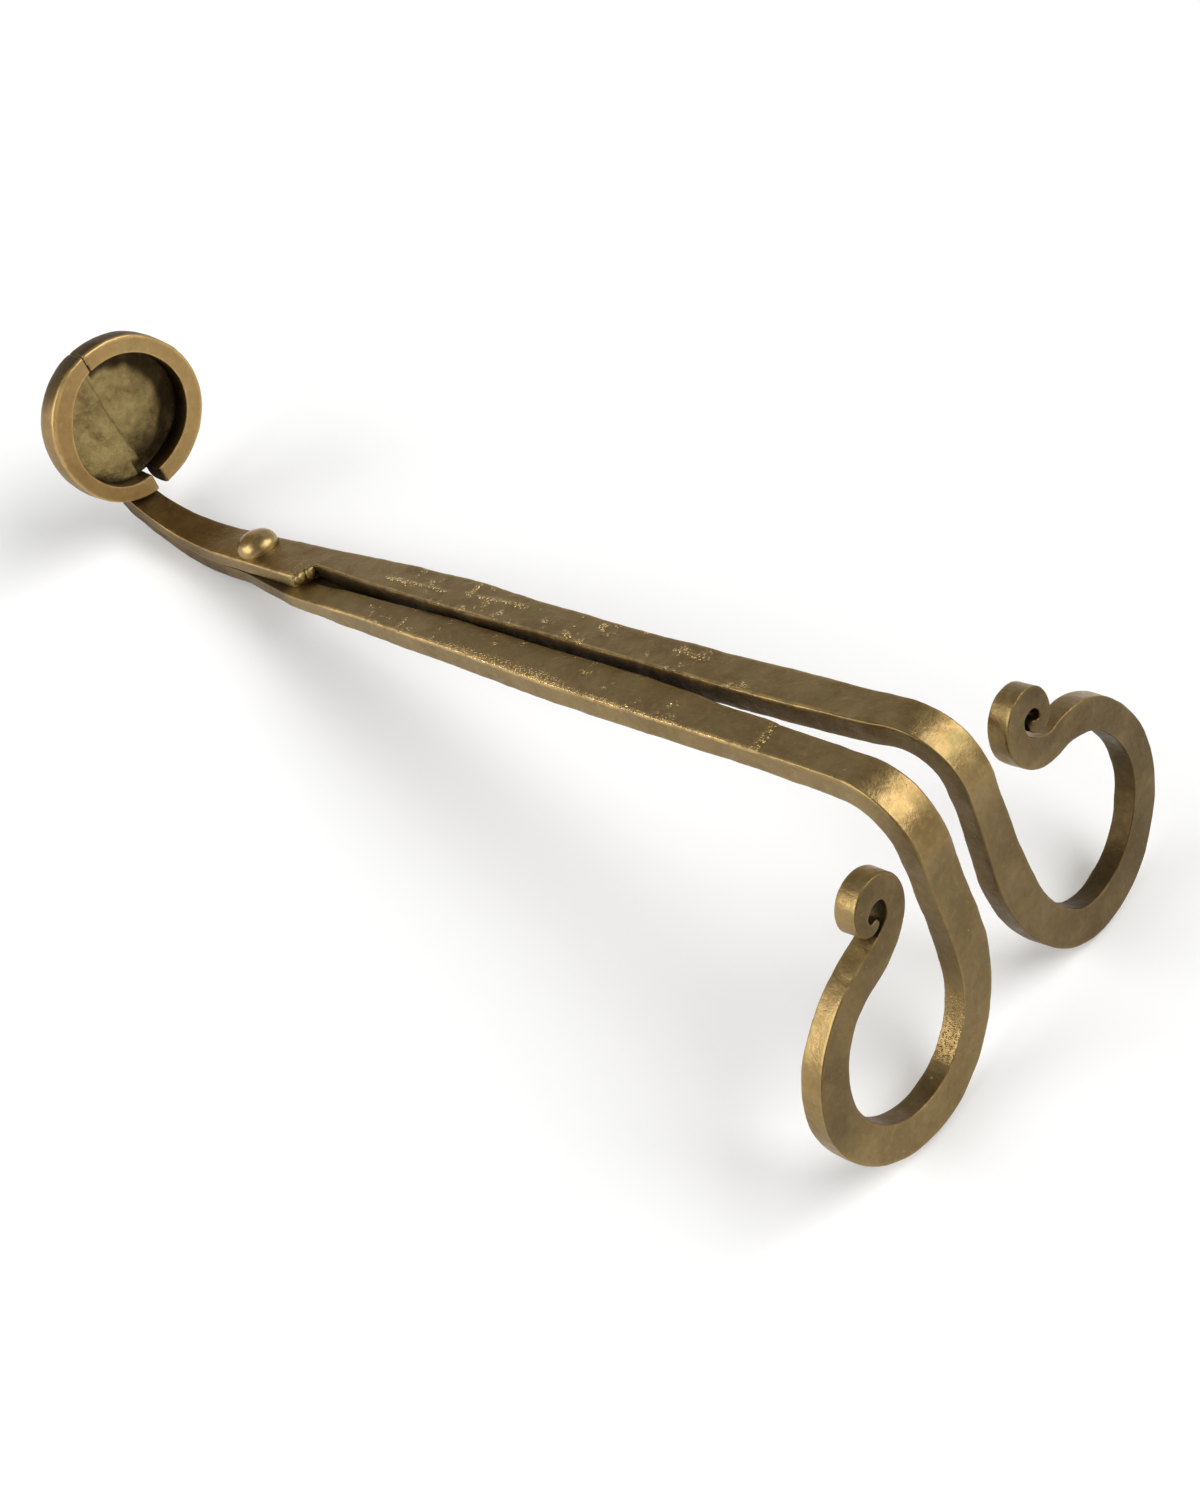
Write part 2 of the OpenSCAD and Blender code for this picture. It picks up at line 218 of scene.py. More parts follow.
def round_ends(outline, along, first, last):
    """Draws the first and last sections in, so that a bar ends rounded and not sawn off."""
    middle = outline.mean(1, keepdims=True)
    size = 0.5 * (outline.max(1) - outline.min(1))
    for distance, reach in ((along - along[0], first), (along[-1] - along, last)):
        drop = reach * (1 - np.sqrt(np.clip(1 - (1 - np.clip(distance / reach, 0, 1)) ** 2, 0, 1)))
        scale = 1 - np.minimum(drop[:, None] / size, 0.95)
        outline = middle + (outline - middle) * scale[:, None, :]
    return outline


def grid_piece(name, grid, edge, along, relief, body, nodes, material,
               closed=False, sharp=50, shade_and_grime=None, painted_glint=None):
    """A piece whose surface is a grid (station, point round the section, xyz) in the pivot frame.
    relief and the two colour masks, painted shade with other darkening and painted glitter, are functions of
    a point, its normal, the distance along and the edge."""
    n, m = grid.shape[:2]
    faces = []
    for i in range(n if closed else n - 1):
        a = i * m
        b = ((i + 1) % n) * m
        for j in range(m):
            k = (j + 1) % m
            faces.append((a + j, a + k, b + k, b + j))
    if not closed:
        faces.append(tuple(reversed(range(m))))
        faces.append(tuple(range((n - 1) * m, n * m)))
    points = grid.reshape(-1, 3)
    mesh = bpy.data.meshes.new(name)
    mesh.from_pydata([tuple(p) for p in points], [], faces)
    mesh.validate()
    make_normals_point_out(mesh)
    normals = np.array([v.normal for v in mesh.vertices], float)
    along = np.repeat(along, m)
    edge = edge.reshape(-1)
    if shade_and_grime is not None:
        add_values(mesh, "shade_and_grime", [shade_and_grime(*row) for row in zip(points, normals, along, edge)])
    if painted_glint is not None:
        add_values(mesh, "painted_glint", [painted_glint(*row) for row in zip(points, normals, along, edge)])
    shift = np.array([relief(*row) for row in zip(points, normals, along, edge)])
    world = to_metres(points + normals * shift[:, None])
    mesh.vertices.foreach_set("co", world.astype(np.float32).ravel())
    # this mask holds edge wear and, on the levers, a painted highlight along the arms' edges on the -y side
    add_values(mesh, "wear", edge)
    mesh.polygons.foreach_set("use_smooth", [True] * len(mesh.polygons))
    mesh.set_sharp_from_angle(angle=math.radians(sharp))
    mesh.update()
    piece = bpy.data.objects.new(name, mesh)
    bpy.context.scene.collection.objects.link(piece)
    mesh.materials.append(material)
    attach(piece, body)
    if nodes:
        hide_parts(*nodes)


def make_normals_point_out(mesh):
    work = bmesh.new()
    work.from_mesh(mesh)
    bmesh.ops.recalc_face_normals(work, faces=work.faces)
    work.to_mesh(mesh)
    work.free()
    mesh.update()


def add_values(mesh, name, values):
    attribute = mesh.attributes.new(name, "FLOAT", "POINT")
    attribute.data.foreach_set("value", np.asarray(values, np.float32))


# ---- Hammered relief ------------------------------------------------------------------------------
def dimples(p, size, seed):
    """Shallow hammer marks, -0.45 in the middle of a mark, with soft ridges between them."""
    distances, _ = noise.voronoi(Vector((p[0] / size + seed, p[1] / size * 1.3, p[2] / size * 1.3)))
    return distances[0] ** 2 * 1.6 - 0.45


def wobble(p, size, seed):
    return noise.noise(Vector((p[0] / size + seed, p[1] / size, p[2] / size - seed)))


def ridge(p, start, end, width):
    """1 on the line from start to end, seen from above, and 0 a few widths away from it."""
    line = (end[0] - start[0], end[1] - start[1])
    length = math.hypot(*line)
    t = ((p[0] - start[0]) * line[0] + (p[1] - start[1]) * line[1]) / length ** 2
    across = ((p[0] - start[0]) * line[1] - (p[1] - start[1]) * line[0]) / length
    ends = float(ease(t * 6) * ease((1 - t) * 6)) if 0 < t < 1 else 0.0
    return ends * hump(across, 0, width)


def arm_step(p):
    """x of the small step across the lower arm's upper face."""
    return 124.6 - 0.13 * (p[1] + 3)


def flecks(p, start, seed, level, fine_level):
    """Bright painted flecks of glitter on an arm, gathered in patches."""
    if not start < p[0] < 120:
        return 0.0
    patch = 0.75 * fade((wobble(p, 4.0, seed) - level) / 0.3)
    return patch * fade((wobble(p, 1.1, seed + 10) - fine_level) / 0.25)


def forged(p, seed):
    """Relief that every bar has."""
    return (0.085 * dimples(p, 6.0, seed) + 0.12 * wobble(p, 15.0, seed) + 0.09 * wobble(p, 6.0, seed + 4)
            + 0.05 * wobble(p, 2.6, seed) + 0.022 * wobble(p, 1.1, seed))


UPPER_RIDGES = (((33.7, 1.6), (51.0, 2.4), 0.22), ((55.5, 3.1), (68.0, 4.0), 0.3),
                ((99.0, 3.5), (107.0, 4.1), 0.2))


def upper_relief(p, normal, along, edge):
    shift = forged(p, 3.1) - 0.07 * edge * (0.5 + wobble(p, 1.6, 8.0))
    if normal[2] > 0.7 and p[0] > LAP_BACK:
        for start, end, width in UPPER_RIDGES:
            shift += 0.16 * ridge(p, start, end, width) * (0.6 + wobble(p, 0.9, 2.0))
    if LAP_BACK - 1 < p[0] < LAP_BACK + 2.6 and p[1] < 0.6 and normal[0] > 0.35:
        shift += 0.42 * wobble(p, 1.3, 5.0) + 0.2 * wobble(p, 0.6, 9.0)
    return shift


def upper_painted_glint(p, normal, along, edge):
    """Where the upper lever gets painted glitter: its ridges, its shoulder and flecks along the arm."""
    value = 0.0
    if normal[2] > 0.6 and p[0] > LAP_BACK:
        value = max(ridge(p, start, end, 0.3) for start, end, _ in UPPER_RIDGES)
        value = max(value, flecks(p, 40, 21.0, 0.12, 0.1))
    if LAP_BACK - 1.5 < p[0] < LAP_BACK + 3 and p[1] < 0.4:
        value = max(value, 0.12)
    return value


def lower_painted_glint(p, normal, along, edge):
    """Where the lower lever gets painted glitter: the rough outer edge, the step, flecks along the arm and a
    painted highlight inside the loop.
    """
    value = 0.0
    if normal[2] > 0.15 and p[0] > LAP_BACK:
        value = hump(p[0], 71.0, 13.0, 4) * hump(p[1], -7.5, 1.0)
        value = max(value, 0.9 * hump(p[0], 90.0, 18.0) * hump(p[1], -8.2, 0.45))
        value = max(value, 0.5 * hump(p[0] - arm_step(p), -0.3, 0.6))
        value = max(value, flecks(p, 35, 41.0, 0.15, 0.15))
    # painted highlight on the lower leg's -y face, inside the lower loop
    if normal[1] < -0.3 and p[0] > ARM_LENGTH and p[1] > -16:
        value = 0.45 * hump(p[2], LOOP_HIGHLIGHT, 3.0)
    return value


def lower_relief(p, normal, along, edge):
    shift = forged(p, 11.7) - 0.07 * edge * (0.5 + wobble(p, 1.6, 4.0))
    if normal[2] > 0.5 and p[0] > 100:
        before = arm_step(p) - p[0]
        shift += 0.12 * fade(before / 0.3 + 0.5) * hump(before, 0, 6.0)
        shift -= 0.12 * hump(-before, 0.4, 0.3) * (0.6 + wobble(p, 1.5, 3.0))
    rough = hump(p[0], 74.0, 14.0) * hump(p[1], -7.6, 0.8)
    if normal[2] > 0.2 and rough > 0.02:
        shift += rough * (0.24 * wobble(p, 0.7, 7.0) + 0.05)
    return shift


# ---- Levers ---------------------------------------------------------------------------------------
def neck_line():
    """Upper face of the upper neck from its tip to the lap, as rows of (x, z, angle)."""
    end_angle = 90 + CUP_LEAN
    rise, end, lean = (math.radians(a) for a in (NECK_RISE, end_angle, CUP_LEAN))
    rise_x = -NECK_START - NECK_RADIUS * math.sin(rise)
    rise_z = LAP_THICKNESS + NECK_RADIUS * (1 - math.cos(rise))
    back_x = CUP_CENTRE[0] - RIM_HEIGHT * math.cos(lean)
    back_z = CUP_CENTRE[2] + RIM_HEIGHT * math.sin(lean)
    bend_dx = NECK_BEND_RADIUS * (math.sin(end) - math.sin(rise))
    bend_dz = NECK_BEND_RADIUS * (math.cos(rise) - math.cos(end))
    slope = math.tan(lean)
    straight = ((rise_x - bend_dx - back_x + (back_z - rise_z - bend_dz) * slope)
                / (math.cos(rise) + math.sin(rise) * slope))
    turn_at = (rise_x - straight * math.cos(rise) + NECK_BEND_RADIUS * math.sin(rise),
               rise_z + straight * math.sin(rise) + NECK_BEND_RADIUS * math.cos(rise))
    tip = (turn_at[0] - NECK_BEND_RADIUS * math.sin(end), turn_at[1] - NECK_BEND_RADIUS * math.cos(end))
    rows = [(tip[0] - g * math.cos(end), tip[1] + g * math.sin(end), end_angle)
            for g in np.linspace(NECK_GRIP, STEP, 20)]
    rows += [(turn_at[0] - NECK_BEND_RADIUS * math.sin(a), turn_at[1] - NECK_BEND_RADIUS * math.cos(a),
              math.degrees(a)) for a in np.linspace(end, rise, 12)]
    rows += [(rise_x - g * math.cos(rise), rise_z + g * math.sin(rise), NECK_RISE)
             for g in np.arange(straight - STEP, STEP / 2, -STEP)]
    rows += [(-NECK_START - NECK_RADIUS * math.sin(a), LAP_THICKNESS + NECK_RADIUS * (1 - math.cos(a)),
              math.degrees(a)) for a in np.linspace(rise, 0.01, 54)]
    return np.array(rows)


def smooth_path(knots):
    """Curve through knots [down, out, half width], evenly spaced, with its first and last knots kept."""
    knots = np.array(knots, float)
    extended = np.vstack([2 * knots[0] - knots[1], knots, 2 * knots[-1] - knots[-2]])
    points = []
    for i in range(len(knots) - 1):
        p0, p1, p2, p3 = extended[i:i + 4]
        for t in np.linspace(0, 1, 40, endpoint=False):
            points.append(0.5 * (2 * p1 + (p2 - p0) * t + (2 * p0 - 5 * p1 + 4 * p2 - p3) * t * t
                                 + (3 * p1 - p0 - 3 * p2 + p3) * t ** 3))
    points = np.array(points + [knots[-1]])
    lengths = np.concatenate([[0], np.cumsum(np.linalg.norm(np.diff(points[:, :2], axis=0), axis=1))])
    count = int(lengths[-1] / STEP)
    even = np.linspace(0, lengths[-1], count)
    points = np.stack([np.interp(even, lengths, points[:, i]) for i in range(3)], 1)
    return blur(points, 1.5)


def lever(which, knots, inner, outer, neck, relief, shade_and_grime, painted_glint, material):
    """One lever: neck, lap, arm, bend, leg, loop and scroll, drawn as one bar with its own side
    towards +y; the lower lever is mirrored at the end."""
    upper = which == "upper"
    top = ARM_TOPS[which]
    line = neck_line()
    angle = line[:, 2]
    tip = NECK_TIPS[0] if upper else NECK_TIPS[1]
    under = np.interp(angle, [0, 60], [LAP_THICKNESS - LAP_CLEARANCE, tip])
    over = np.zeros(len(line))
    if not upper:
        over = np.interp(angle, [NECK_RISE, 90], [LAP_THICKNESS + LAP_CLEARANCE, NECK_STEP])
    drop = LAP_THICKNESS - top      # every section is measured from the arm's own upper face
    turned = np.radians(angle)
    line = line - drop * np.stack([np.sin(turned), np.cos(turned), 0 * turned], 1)
    neck_v1 = drop - over
    neck_v0 = drop - over - under

    arm_x = np.arange(-NECK_START + STEP, ARM_LENGTH, STEP)
    if upper:
        arm_v1 = np.full(len(arm_x), 0.0)
        arm_v0 = -np.interp(arm_x, RAMP, [LAP_THICKNESS - LAP_CLEARANCE, ARM_THICKNESS])
    else:
        arm_v1 = np.interp(arm_x, RAMP, [-LAP_CLEARANCE, top]) - top
        arm_v0 = np.full(len(arm_x), -ARM_THICKNESS)
    bend = np.radians(np.linspace(0, BEND_ANGLE, 45))
    loop = smooth_path(knots)

    # planar part: neck, arm and bend
    x = np.concatenate([line[:, 0], arm_x, ARM_LENGTH + BEND_RADIUS * np.sin(bend)])
    z = np.concatenate([line[:, 1], np.full(len(arm_x), top), top - BEND_RADIUS * (1 - np.cos(bend))])
    a = np.concatenate([np.radians(angle), np.zeros(len(arm_x)), bend])
    v0 = np.concatenate([neck_v0, arm_v0, np.full(len(bend), -ARM_THICKNESS)])
    v1 = np.concatenate([neck_v1, arm_v1, np.zeros(len(bend))])
    leg = (knots[0][1] - knots[0][2], knots[0][1] + knots[0][2])
    near = np.array([(NECK_TIP_X, neck[0]), (-NECK_START, -LAP_REACH), (LAP_BACK, -LAP_REACH), *inner])
    far = np.array([(NECK_TIP_X, neck[1]), *outer])
    u0 = np.interp(x, near[:, 0], near[:, 1])
    u1 = np.interp(x, far[:, 0], far[:, 1])
    swing = ease((x - ARM_LENGTH + 4) / (BEND_RADIUS + 4))
    u0 = u0 + (leg[0] - inner[-1][1]) * swing
    u1 = u1 + (leg[1] - outer[-1][1]) * swing
    u0 = blur(u0, 0.9 if upper else 2)
    u1 = blur(u1, 4)
    if upper:
        # behind the cup the neck stays on its own side of the seam; row 20 is its bend's upper end
        on_cup = ease((line[20:21, 1] + 1.5 - z) / 3.0 * -1) * (x < -20)
        u1 = u1 - 3.1 * on_cup
    centre = np.stack([x, np.zeros(len(x)), z], 1)
    wide = np.tile([0.0, 1.0, 0.0], (len(x), 1))
    thick = np.stack([np.sin(a), np.zeros(len(x)), np.cos(a)], 1)

    # leg, loop and scroll, in the plane at the end of the bend
    bend_end = math.radians(BEND_ANGLE)
    down = np.array([math.cos(bend_end), 0, -math.sin(bend_end)])
    front = np.array([math.sin(bend_end), 0, math.cos(bend_end)])
    out = np.array([0.0, 1.0, 0.0])
    base = np.array([ARM_LENGTH, 0, top - BEND_RADIUS]) + BEND_RADIUS * front
    heading = np.gradient(loop[:, :2], axis=0)
    heading /= np.linalg.norm(heading, axis=1, keepdims=True)
    loop_centre = base + loop[:, 0:1] * down + loop[:, 1:2] * out
    loop_wide = heading[:, 0:1] * out - heading[:, 1:2] * down
    loop_thick = np.tile(front, (len(loop), 1))
    seat = (ARM_THICKNESS - LOOP_THICKNESS) / 2
    merge = ease(np.arange(len(loop)) * STEP / 3)

    centre = np.vstack([centre, loop_centre])
    wide = np.vstack([wide, loop_wide])
    thick = np.vstack([thick, loop_thick])
    u0 = np.concatenate([u0, -loop[:, 2]])
    u1 = np.concatenate([u1, loop[:, 2]])
    v0 = np.concatenate([v0, -ARM_THICKNESS + seat * merge])
    v1 = np.concatenate([v1, -seat * merge])
    v0, v1 = blur(v0, 2), blur(v1, 2)
    gaps = np.linalg.norm(np.diff(centre + wide * ((u0 + u1) / 2)[:, None], axis=0), axis=1)
    along = np.concatenate([[0], np.cumsum(np.minimum(gaps, 1.0))])
    wear = 0.27 + 0.08 * np.array([noise.noise(Vector((s / 9, 2.0, 5.0))) for s in along])
    radii = np.repeat(wear[:, None], 4, 1)
    outline, edge = sections(u0, u1, v0, v1, radii)
    outline = round_ends(outline, along, 0.3, 0.5)
    # the edges of the arms' upper faces are made brighter: rubbed wear on them all, and a painted highlight
    # added on the -y side
    on_arm = np.exp(-np.clip((20 - centre[:, 0]) / 30, 0, None)) * (1 - ease((centre[:, 0] - 125) / 12))
    highlight_side = (outline[:, :, 0] > ((u0 + u1) / 2)[:, None]) != upper
    edge = edge ** 1.8 * (0.12 + (0.2 + 0.6 * highlight_side) * on_arm[:, None] * (outline[:, :, 1] > -1.0))
    grid = (centre[:, None] + wide[:, None] * outline[:, :, 0:1] + thick[:, None] * outline[:, :, 1:2])
    if not upper:
        grid[:, :, 1] *= -1
    grid_piece(f"{which}_lever_forged", grid, edge, along, relief, f"{which}_half",
               [f"{which}_lever"], material, shade_and_grime=shade_and_grime, painted_glint=painted_glint)


def lap_root(material):
    """Web of the lower lap that runs on under the upper arm, to the end of the ramp."""
    xs = np.arange(13.6, 38.1, 0.5)
    share = (xs - xs[0]) / (xs[-1] - xs[0])
    top = np.interp(xs, RAMP, [-0.03, LAP_THICKNESS - ARM_THICKNESS - 0.06])
    bottom = np.full(len(xs), 0.03 - LAP_THICKNESS)
    near_side = -2.5 + 4.3 * share
    far_side = np.full(len(xs), 2.6)
    outline, edge = sections(near_side, far_side, bottom, top, 0.3)
    across, height = outline[:, :, 0], outline[:, :, 1]
    grid = np.stack([np.broadcast_to(xs[:, None], across.shape), -across, height], 2)
    # the web is painted nearly black: painted shade under the upper arm
    grid_piece("lower_lap_root", grid, edge * 0, xs, lambda *row: 0.04 * wobble(row[0], 2.5, 3.0) - 0.04,
               "lower_half", [], material, shade_and_grime=lambda *row: 0.9)


def shoulder_burr(name, place, size, seed, material):
    """Rough lump left where the shoulder of the upper lap was upset."""
    rows, turns = 24, 36
    fall = np.linspace(0.02, math.pi - 0.02, rows)[:, None]
    turn = np.linspace(0, 2 * math.pi, turns, endpoint=False)[None]
    unit = np.stack([np.sin(fall) * np.cos(turn), np.sin(fall) * np.sin(turn), np.cos(fall) + 0 * turn], 2)
    grid = unit * np.array(size) + np.array(place)

    def lumpy(p, normal, along, edge):
        return 0.38 * wobble(p, 1.7, seed) - 0.05
    # a faint painted glitter on the lump
    grid_piece(name, grid, np.zeros((rows, turns)), fall[:, 0], lumpy, "upper_half", [],
               material, sharp=60, painted_glint=lambda *row: 0.04)


def upper_lever_shade_and_grime(p, normal, along, edge):
    """Painted shade in the gap between the arms and under the arms; darker along the neck."""
    gap = 0.0
    # painted shade on faces turned towards the lower lever, deepest near the pivot
    if normal[1] < -0.3 and p[0] > 15:
        gap = max(float(1 - ease((p[0] - 95) / 45)), 0.62 * fade((14 - p[1]) / 4))
    neck = 0.42 * fade((-p[0] - 2) / 14) if p[0] < 0 else 0.0
    # painted shade on downward faces short of the bend
    under = 0.6 if normal[2] < -0.5 and p[0] < ARM_LENGTH else 0.0
    # the painted shade in the gap deepens lower down
    low = 0.86 + 0.14 * fade((2.0 - p[2]) / 1.5)
    return max(0.92 * gap * low, neck, under, loop_shade_and_grime(p, normal, 1))


def lower_lever_shade_and_grime(p, normal, along, edge):
    """Painted shade in the gap between the arms, under the arms, on the neck under the upper neck and round
    the lap under the upper lap.
    """
    # painted shade on faces turned towards the upper lever, deepest near the pivot
    gap = float(1 - ease((p[0] - 95) / 45)) if normal[1] > 0.3 and p[0] > 10 else 0.0
    # painted shade round the lap, under the upper lap
    lap = 0.85 * fade((16.0 - p[0]) / 4) if p[0] > -NECK_START else 0.0
    lap *= 1.0 if abs(normal[2]) > 0.6 or normal[1] > 0 else 0.5
    # painted shade on the neck, under the upper neck
    neck = (0.55 if normal[1] < -0.3 else 0.8) if p[0] <= -NECK_START else 0.0
    # painted shade on downward faces short of the bend
    under = 0.6 if normal[2] < -0.5 and p[0] < ARM_LENGTH else 0.0
    return max(0.9 * gap, neck, lap, under, loop_shade_and_grime(p, normal, -1))


def loop_shade_and_grime(p, normal, side):
    """Painted shade on inside faces of a leg, loop and scroll and in the scroll's eye; front faces darker
    lower down, near the scroll and further out; side is 1 for the upper lever.
    """
    if p[0] < ARM_LENGTH:
        return 0.0
    centre = np.array([p[0], side * LOOP_MIDDLE[0], LOOP_MIDDLE[1]])
    inward = normal @ (centre - p)
    eye_out, eye_height = SCROLL_EYES[side]
    eye = math.hypot(side * p[1] - eye_out, p[2] - eye_height)
    if eye < 3.3 and normal[0] < 0.6:      # painted shade inside the scroll's eye
        return 0.85
    front = fade((normal[0] - 0.3) / 0.4)
    darkening = (0.44 if side > 0 else 0.36) * fade((-p[2] - 6) / 8) * front
    darkening = max(darkening, 0.5 * front * fade((10.0 - eye) / 4.0))
    darkening += 0.12 * front * fade((side * p[1] - 14) / 6)
    darkening *= 1 - (0.7 * fade((-p[2] - 34) / 8) if side < 0 else 0.0)
    if normal[1] < -0.3 and -14 < p[1] < 0:      # the lower leg's face away from the upper leg
        darkening = 0.34 * fade((p[0] - ARM_LENGTH - 2) / 6) * fade((p[2] + 29) / 4)
    # painted shade on inside faces, lower down
    shade = (0.78 if side > 0 else 0.5) * fade((inward - 3) / 6) * fade((-p[2] - 8) / 12)
    if side < 0 and p[1] > -16:                   # less painted shade at the painted highlight inside the lower loop
        shade *= 1 - hump(p[2], LOOP_HIGHLIGHT, 5.5)
    return max(darkening, shade)


# Middle lines of the loops: (down from the bend, out from the pivot's plane, half the width)
UPPER_LOOP = [(0, 5.1, 2.85), (6, 5.45, 2.9), (12, 5.5, 3.1), (18, 5.9, 3.35), (23.5, 7.0, 3.2),
              (28, 9.0, 3.1), (32, 11.9, 3.05), (34.8, 15.2, 2.95), (36.1, 19.7, 2.9), (35.6, 24.3, 2.85),
              (34.1, 28.2, 2.85), (31.3, 31.7, 2.8), (27.3, 34.6, 2.7), (22, 36.3, 2.5), (16.5, 36, 2.4),
              (11.4, 33.9, 2.45), (7.6, 30.9, 2.5), (5.4, 27.4, 2.5), (4.6, 23.6, 2.4), (4.8, 20.2, 2.25),
              (4.0, 17.3, 2.3), (1.6, 14.7, 2.15), (-1.3, 13.95, 2.0), (-3.8, 14.9, 1.9), (-4.9, 17.2, 1.85),
              (-4.3, 19.4, 1.6), (-2.5, 20.5, 1.25), (-0.7, 20.3, 1.15), (0.1, 19.1, 1.05),
              (-0.3, 17.8, 0.95), (-1.4, 16.9, 0.7)]
LOWER_LOOP = [(0, 6.0, 3.15), (7, 5.7, 3.2), (14, 5.4, 3.25), (20, 5.6, 3.2), (25, 6.8, 3.05),
              (29.2, 9.1, 2.95), (32.8, 12.6, 2.95), (35, 16.6, 3), (35.8, 20.9, 3), (35.3, 25.2, 2.95),
              (33.7, 28.8, 2.95), (31.1, 32, 3), (27.5, 34.5, 3), (23, 35.8, 3), (18.2, 35.4, 2.8),
              (13.8, 33.5, 2.65), (10.7, 30.8, 2.45), (8.6, 27.9, 2.4), (7.3, 24.6, 2.4), (6.4, 21.4, 2.45),
              (5.1, 18.4, 2.15), (3.1, 15.8, 1.9), (0.4, 14.9, 1.85), (-2.0, 15.7, 1.85), (-3.0, 17.9, 1.85),
              (-2.5, 20.1, 1.7), (-0.8, 21.5, 1.35), (0.9, 21.5, 1.1), (1.9, 20.5, 0.85), (1.8, 19.4, 0.7),
              (1.2, 18.5, 0.5)]


# ---- Cup ------------------------------------------------------------------------------------------
def seam_to_cup(points):
    """From the frame turned along the seam (y 0 through the cup's middle) to the cup frame."""
    c, s = math.cos(SEAM_ANGLE), math.sin(SEAM_ANGLE)
    turned = points.copy()
    turned[..., 0] = c * points[..., 0] - s * points[..., 1]
    turned[..., 1] = s * points[..., 0] + c * points[..., 1]
    return turned


RING_ANGLES = (-180, -156, -135, -118, -95, -75, -30, 5, 30, 60, 90, 125, 150, 180)
RING_OUTER = (15.4, 15.9, 16.0, 15.8, 15.25, 14.95, 15.1, 14.9, 15.25, 15.75, 15.85, 15.15, 15.3, 15.4)
RING_INNER = (12.3, 12.6, 12.1, 11.75, 11.8, 12.1, 12.1, 11.4, 11.5, 12.15, 12.35, 12.0, 12.05, 12.3)


def ring_radius(theta, radii):
    """The ring was bent by hand; theta runs from straight down towards the upper arm's side."""
    turned = np.degrees(theta + math.pi) % 360 - 180
    before, here, after = (np.interp(turned + shift, RING_ANGLES, radii, period=360) for shift in (-7, 0, 7))
    return (before + here + after) / 3


def bent_ring(points):
    """Moves points of a true round cup to the ring's hand-bent outline."""
    radius = np.hypot(points[..., 0], points[..., 1])
    theta = np.arctan2(points[..., 1], points[..., 0])
    inner = ring_radius(theta, RING_INNER)
    outer = ring_radius(theta, RING_OUTER)
    share = (radius - DISH_RADIUS) / (CUP_RADIUS - DISH_RADIUS)
    bent = np.where(radius > DISH_RADIUS, inner + (outer - inner) * share,
                    radius + (inner - DISH_RADIUS) * (radius / DISH_RADIUS) ** 3)
    moved = points.copy()
    moved[..., 0] *= bent / np.maximum(radius, 1e-6)
    moved[..., 1] *= bent / np.maximum(radius, 1e-6)
    return moved


def seam_at(radius, offset):
    """Angle, from straight down, at which a circle meets the seam line moved by offset."""
    return np.arcsin(np.clip((SEAM_MIDDLE + offset) / radius, -1, 1))


def lower_rim_start(radius):
    """The lower rim stops short of the upper neck, at an end that slants a little."""
    return np.arcsin((1.29 + 0.085 * (radius - DISH_RADIUS)) / radius) - SEAM_ANGLE


def rim(which, start_of, end_of, relief, material):
    """Half ring; start_of and end_of give the end angles at a radius, in the seam frame."""
    count = 150
    along = np.linspace(0, 1, count)
    middle = (CUP_RADIUS + DISH_RADIUS) / 2
    half = (CUP_RADIUS - DISH_RADIUS) / 2
    ones = np.ones(count)
    # corners: outer front, inner front, inner back, outer back
    radii = [0.4, 0.2, 0.3, 1.0]
    outline, edge = sections(-half * ones, half * ones, -RIM_HEIGHT * ones, 0 * ones, radii)
    arc = along * math.pi * middle
    outline = round_ends(outline, arc, 0.18, 0.18)
    radius = middle + outline[:, :, 0]
    # the outer wall is hammered a little barrel-shaped
    depth = -outline[:, :, 1] / RIM_HEIGHT
    outside = np.clip(outline[:, :, 0] / half, 0, 1) ** 3
    theta = start_of(radius) + (end_of(radius) - start_of(radius)) * along[:, None]
    high = np.clip(-np.cos(theta), 0, 1)
    radius = radius + outside * (0.22 * np.sin(np.pi * np.clip(depth, 0, 1)) - 0.55 * high * depth ** 2)
    grid = np.stack([radius * np.cos(theta), radius * np.sin(theta), outline[:, :, 1]], 2)
    grid = from_cup(bent_ring(seam_to_cup(grid)))
    grid_piece(f"{which}_rim_forged", grid, edge, arc, relief, f"{which}_half",
               [f"{which}_rim"], material, sharp=40, shade_and_grime=rim_shade_and_grime)


def rim_shade_and_grime(p, normal, along, edge):
    """Painted shade on the inner wall, darkest deepest, and on the upper side of the outer wall; the rest of
    the outer wall a little darker; dark on the back and the end faces.
    """
    local = (p - CUP_CENTRE) @ AT_CUP
    local_normal = normal @ AT_CUP
    outward = (local_normal[0] * local[0] + local_normal[1] * local[1]) / math.hypot(local[0], local[1])
    # painted shade on the inner wall, darkest deepest
    if outward < -0.4:
        return 0.75 + 0.25 * fade(-local[2] / 2.5)
    # outer wall: a little darker, with painted shade on its upper side
    if outward > 0.4:
        top = fade((-local[0] / CUP_RADIUS - 0.45) / 0.35)
        return max(0.3, 0.82 * top) * fade(-local[2] / 0.8)
    return 0.95 if local_normal[2] < -0.6 or abs(outward) < 0.3 and local_normal[2] < 0.5 else 0.0


def rim_relief(seed):
    def relief(p, normal, along, edge):
        local = (p - CUP_CENTRE) @ AT_CUP
        local_normal = normal @ AT_CUP
        outside = local_normal[0] * local[0] + local_normal[1] * local[1]
        if local_normal[2] > 0.8:      # filed front
            return 0.03 * wobble(p, 3.5, seed) + 0.006 * wobble(p, 0.7, seed)
        if outside > 0:                # hammered outer wall
            return 0.09 * dimples(p, 4.5, seed) + 0.06 * wobble(p, 5.0, seed) + 0.02 * wobble(p, 1.2, seed)
        line = hump(local[2], -2.2, 0.16)    # scratched round the inner wall
        return 0.04 * wobble(p, 2.0, seed) - 0.05 * line
    return relief


